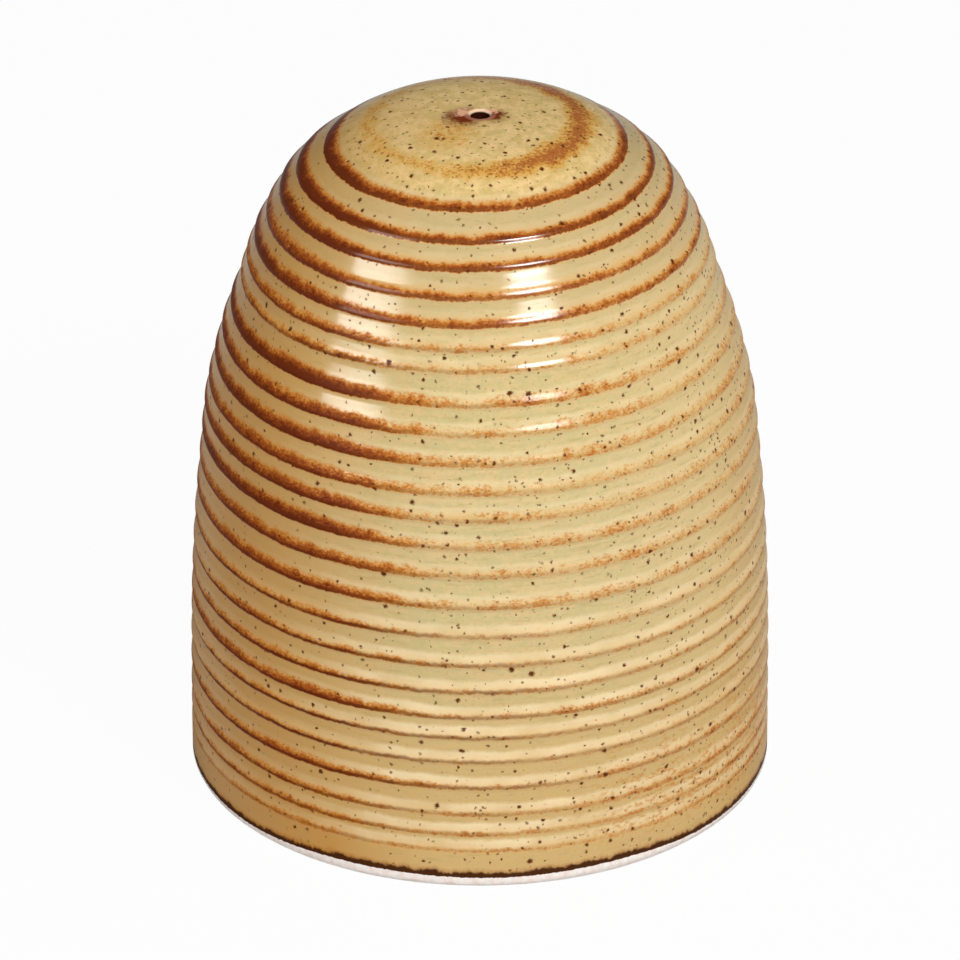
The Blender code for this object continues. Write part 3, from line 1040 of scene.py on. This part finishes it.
# %% [markdown]
# ## The pull tab
# A tongue on the flange gives a fingertip something to pull, with two bars across it for grip. A
# slab with rounded edges makes each of them: loops of one outline, drawn in a little at the top and
# bottom. A bevelled box would do for the bars, but not for the round end of the tongue.

# %% Slabs with rounded edges
TAB_START = 7.0 * MM
TAB_END = 17.0 * MM
TAB_HALF_WIDTH = 4.0 * MM
TAB_TOP = SEAT_HEIGHT - 0.2 * MM
TAB_BOTTOM = SEAT_HEIGHT - FLANGE_THICKNESS + 0.2 * MM
BAR_HALF_LENGTH = 2.4 * MM
BAR_HALF_WIDTH = 0.35 * MM
BAR_BOTTOM = TAB_BOTTOM - 0.6 * MM
BAR_TOP = TAB_TOP - 0.4 * MM
BAR_INSET = 1.5 * MM
BAR_PITCH = 1.5 * MM
TAB_ROUND = 0.35 * MM
BAR_ROUND = 0.2 * MM
HALF_TURN_STEPS = 20
EDGE_LOOPS = ((1.0, 0.0), (0.3, 0.3), (0.0, 1.0))


def pill(name, first, second, half_width, bottom, top, rounding):
    """A slab with a half circle round each of two points, its upper and lower edges rounded."""
    heading = math.atan2(second[1] - first[1], second[0] - first[0])
    shape = bmesh.new()
    levels = [(bottom + rise * rounding, inset) for inset, rise in EDGE_LOOPS]
    levels += [(top - rise * rounding, inset) for inset, rise in reversed(EDGE_LOOPS)]
    loops = []
    for height, inset in levels:
        reach = half_width - inset * rounding
        loop = []
        for centre, turn in ((second, heading - math.pi / 2), (first, heading + math.pi / 2)):
            for angle in np.linspace(turn, turn + math.pi, HALF_TURN_STEPS):
                x = centre[0] + reach * math.cos(angle)
                y = centre[1] + reach * math.sin(angle)
                loop.append(shape.verts.new((x, y, height)))
        loops.append(loop)
    for lower, upper in zip(loops, loops[1:]):
        for index in range(len(lower)):
            after = (index + 1) % len(lower)
            shape.faces.new((lower[index], lower[after], upper[after], upper[index]))
    shape.faces.new(reversed(loops[0]))
    shape.faces.new(loops[-1])
    mesh = bpy.data.meshes.new(name)
    shape.to_mesh(mesh)
    shape.free()
    mesh.materials.append(SILICONE)
    piece = bpy.data.objects.new(name, mesh)
    bpy.context.scene.collection.objects.link(piece)
    return piece


tab_centre = TAB_END - TAB_HALF_WIDTH
tab_line = ((TAB_START, 0.0), (tab_centre, 0.0))
tab = pill("tab", *tab_line, TAB_HALF_WIDTH, TAB_BOTTOM, TAB_TOP, TAB_ROUND)
bar_x = TAB_END - BAR_INSET - BAR_HALF_WIDTH
bar_end = BAR_HALF_LENGTH - BAR_HALF_WIDTH
bar_line = ((bar_x, -bar_end), (bar_x, bar_end))
bars = pill("bars", *bar_line, BAR_HALF_WIDTH, BAR_BOTTOM, BAR_TOP, BAR_ROUND)
print(f"tab of {len(tab.data.polygons)} faces, bar of {len(bars.data.polygons)} faces")

# %% [markdown]
# ## The grip bars in a row
# The bars repeat, so a small tree sets copies of one bar in a row. Two copies could be placed by hand,
# but then their count and pitch would be lost in the numbers.

# %% Bars in a row
BAR_COUNT = 2
ROW_INPUTS = {
    "Bar": "NodeSocketGeometry",
    "Count": "NodeSocketInt",
    "Pitch": "NodeSocketFloat",
    "Finish": "NodeSocketMaterial",
}


def row_tree():
    """Repeats a shape along X."""
    tree = bpy.data.node_groups.new("bars_in_a_row", "GeometryNodeTree")
    for name, kind in ROW_INPUTS.items():
        tree.interface.new_socket(name, in_out="INPUT", socket_type=kind)
    tree.interface.new_socket("Geometry", in_out="OUTPUT", socket_type="NodeSocketGeometry")
    given = Wire(tree).node("NodeGroupInput")
    step = given.node("ShaderNodeCombineXYZ", None, {"X": given.output("Pitch") * -1})
    spaced = {"Count": given.output("Count"), "Offset": step}
    line = given.node("GeometryNodeMeshLine", None, spaced)
    placed = {"Points": line, "Instance": given.output("Bar")}
    mesh = given.node("GeometryNodeInstanceOnPoints", None, placed)
    mesh = given.node("GeometryNodeRealizeInstances", None, {"Geometry": mesh})
    finish = {"Geometry": mesh, "Material": given.output("Finish")}
    mesh = given.node("GeometryNodeSetMaterial", None, finish)
    given.node("NodeGroupOutput", None, {"Geometry": mesh})
    return tree


set_inputs(bars, row_tree(), {"Count": BAR_COUNT, "Pitch": BAR_PITCH, "Finish": SILICONE})
made_plain(bars)
print(f"bars of {len(bars.data.polygons)} faces")

# %% [markdown]
# ## One skin for the stopper
# The stopper leaves its mould in one piece, so flange, tab and bars get one skin. A Boolean union
# makes it; leaving the solids inside each other would show in the exported mesh. Edges sharper than
# a set angle stay crisp, and the rest is shaded smooth.

# %% One skin
SHARP_ANGLE = 40
for addition in (tab, bars):
    union = stopper.modifiers.new(addition.name, "BOOLEAN")
    union.operation = "UNION"
    union.solver = "EXACT"
    union.object = addition
made_plain(stopper)
for addition in (tab, bars):
    bpy.data.objects.remove(addition)
stopper.data.shade_smooth()
stopper.data.set_sharp_from_angle(angle=math.radians(SHARP_ANGLE))
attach(stopper, "stopper")
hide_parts("base_stopper")
print(f"stopper of {len(stopper.data.polygons)} faces")

# %% [markdown]
# ## The floor
# The shaker stands on a plain white floor. To the camera it is nearly pure white, and a small share
# of it stays matte so that it keeps the shadow. From below it is clear. It is a ring, open under the
# base, so that the base and the stopper can be lit and seen from below.

# %% Floor
FLOOR_RADIUS = 3.0
FLOOR_HOLE_RADIUS = foot_radius - 0.2 * MM
FLOOR_STEPS = 96
FLOOR_GREY = (0.65, 0.65, 0.65, 1.0)
PURE_WHITE = (1.0, 1.0, 1.0, 1.0)
WHITE_SHARE = 0.965


def white_floor():
    """A pale floor that the camera sees as white, with the shaker's shadow kept."""
    material, start, surface = new_finish("white_floor")
    tree = material.node_tree
    tree.nodes.remove(surface)
    rays = start.node("ShaderNodeLightPath", None, None, "Is Camera Ray")
    matte = start.node("ShaderNodeBsdfDiffuse", None, {"Color": FLOOR_GREY})
    white = start.node("ShaderNodeEmission", None, {"Color": PURE_WHITE, "Strength": 1.0})
    shown = start.node("ShaderNodeMixShader", None, {"Fac": rays * WHITE_SHARE, 1: matte, 2: white})
    clear = start.node("ShaderNodeBsdfTransparent")
    behind = start.node("ShaderNodeNewGeometry", None, None, "Backfacing")
    shown = start.node("ShaderNodeMixShader", None, {"Fac": behind, 1: shown, 2: clear})
    feed(shown, tree.nodes["Material Output"].inputs["Surface"])
    return material


def ring_floor():
    """A flat ring that carries the foot, open under the base."""
    spots = []
    faces = []
    for index in range(FLOOR_STEPS):
        turn = math.tau * index / FLOOR_STEPS
        for radius in (FLOOR_HOLE_RADIUS, FLOOR_RADIUS):
            spots.append((radius * math.cos(turn), radius * math.sin(turn), 0.0))
        here = 2 * index
        after = 2 * ((index + 1) % FLOOR_STEPS)
        faces.append((here, here + 1, after + 1, after))
    mesh = bpy.data.meshes.new("floor")
    mesh.from_pydata(spots, [], faces)
    return mesh


floor_mesh = ring_floor()
floor_mesh.materials.append(white_floor())
floor = bpy.data.objects.new("floor", floor_mesh)
bpy.context.scene.collection.objects.link(floor)
print(f"floor of {len(floor_mesh.polygons)} faces")

# %% [markdown]
# ## The light
# The light is a plain studio. A key panel at the front right does most of the work and models the
# rings, a dim panel fills the left, and a soft sky all round opens the shadows. A glaze also mirrors
# what stands round it, and a picture of it looks dull without that, so two more panels show only as
# reflections: a wide one on the left and a tall one behind the key. Their edges fade, as those of a
# soft box do.

# %% World and lamps
SKY_LIGHT = 0.16
OVERHEAD_LIGHT = 0.18
UNDER_LIGHT = 0.6
CEILING_LIGHT = 0.05
HORIZON_LIGHT = 0.20
AIM_HEIGHT = 0.55 * BODY_HEIGHT

world = bpy.data.worlds.new("studio")
world.use_nodes = True
bpy.context.scene.world = world
sky = world.node_tree.nodes["Background"]
sky.inputs["Color"].default_value = PURE_WHITE
sky_start = Wire(world.node_tree)
path = sky_start.node("ShaderNodeLightPath", None, None, "Is Camera Ray")
mirrored = path.output("Is Glossy Ray").larger(path.output("Is Transmission Ray"))
way = sky_start.node("ShaderNodeTexCoord", None, None, "Generated")
rise = sky_start.node("ShaderNodeSeparateXYZ", None, {"Vector": way}, "Z")
backdrop = CEILING_LIGHT + (HORIZON_LIGHT - CEILING_LIGHT) * rise.step(0.12, 0.0)
overhead = SKY_LIGHT + OVERHEAD_LIGHT * rise.larger(0.0) ** 2
soft = overhead + UNDER_LIGHT * rise.step(0.0, -0.2)
around = mirrored * backdrop + (1 - mirrored) * soft
feed(path + (1 - path) * around, sky.inputs["Strength"])


def panel(name, azimuth, elevation, distance, width, tall, power):
    """A panel that faces the shaker. Azimuth 0 is the camera's side, and positive is its right."""
    lamp = bpy.data.lights.new(name, "AREA")
    lamp.shape = "RECTANGLE"
    lamp.size = width
    lamp.size_y = tall
    lamp.energy = power
    spot = bpy.data.objects.new(name, lamp)
    bpy.context.scene.collection.objects.link(spot)
    flat = distance * math.cos(math.radians(elevation))
    turn = math.radians(azimuth)
    height = AIM_HEIGHT + distance * math.sin(math.radians(elevation))
    spot.location = (flat * math.sin(turn), -flat * math.cos(turn), height)
    spot.rotation_euler = (math.pi / 2 - math.radians(elevation), 0.0, turn)
    return spot


def only_mirrored(spot):
    """Keep a panel's mirror image in the glaze, but let it add no other light."""
    spot.visible_diffuse = False


def faded(spot, left, right, below, above):
    """Let a panel fade towards its edges; each share is how much of the panel that fade takes."""
    spot.data.use_nodes = True
    glow = spot.data.node_tree.nodes["Emission"]
    wire = Wire(spot.data.node_tree)
    place = wire.node("ShaderNodeNewGeometry", None, None, "Parametric")
    split = wire.node("ShaderNodeSeparateXYZ", None, {"Vector": place})
    across = split.output("X")
    up = split.output("Y")
    fade = across.step(0.0, left) * across.step(1.0, 1 - right)
    fade = fade * up.step(0.0, below) * up.step(1.0, 1 - above)
    feed(fade, glow.inputs["Strength"])


key = panel("key_panel", azimuth=30, elevation=42, distance=1.0, width=0.50, tall=0.34, power=16.8)
faded(key, left=0.35, right=0.35, below=0.3, above=0.3)
fill = panel("left_panel", azimuth=-58, elevation=20, distance=1.0, width=0.50, tall=0.66, power=2.3)
beside = {"elevation": 20, "distance": 1.01, "width": 0.68, "tall": 0.66}
sheen = panel("left_sheen", azimuth=-53.5, power=11.7, **beside)
faded(sheen, left=0.02, right=0.55, below=0.1, above=0.1)
only_mirrored(sheen)
behind_key = {"elevation": 38, "distance": 1.01, "width": 0.40, "tall": 0.66}
gleam = panel("key_gleam", azimuth=30, power=11.0, **behind_key)
faded(gleam, left=0.3, right=0.3, below=0.25, above=0.25)
only_mirrored(gleam)
print("lamps:", [lamp.name for lamp in (key, fill, sheen, gleam)])

# %% [markdown]
# ## The camera
# The picture is taken from about 28 degrees above the table with a long lens, which keeps the wall
# upright and the ring ellipses alike. A short lens close up would frame it too, but it would make
# the dome bulge. The Standard view transform shows colours as they are written.

# %% Camera
VIEW_ELEVATION = 28.0
VIEW_DISTANCE = 1.0526
VIEW_TARGET = 32.4 * MM
FOCAL_LENGTH = 367.8
SENSOR_WIDTH = 36.0
lens = bpy.data.cameras.new("camera")
lens.lens = FOCAL_LENGTH
lens.sensor_width = SENSOR_WIDTH
lens.clip_start = 0.01
camera = bpy.data.objects.new("camera", lens)
bpy.context.scene.collection.objects.link(camera)
tilt = math.radians(VIEW_ELEVATION)
camera_height = VIEW_TARGET + VIEW_DISTANCE * math.sin(tilt)
camera.location = (0.0, -VIEW_DISTANCE * math.cos(tilt), camera_height)
camera.rotation_euler = (math.pi / 2 - tilt, 0.0, 0.0)
bpy.context.scene.camera = camera
bpy.context.scene.view_settings.view_transform = "Standard"
print(f"camera {VIEW_DISTANCE:.2f} m away, lens of {FOCAL_LENGTH:.0f} mm")

# %% [markdown]
# ## Sizes
# The skins have to be as large as the solids they stand for. The box of the CAD model was kept at the
# start, and the body's radius and height come from it.

# %% Finish
print("done")
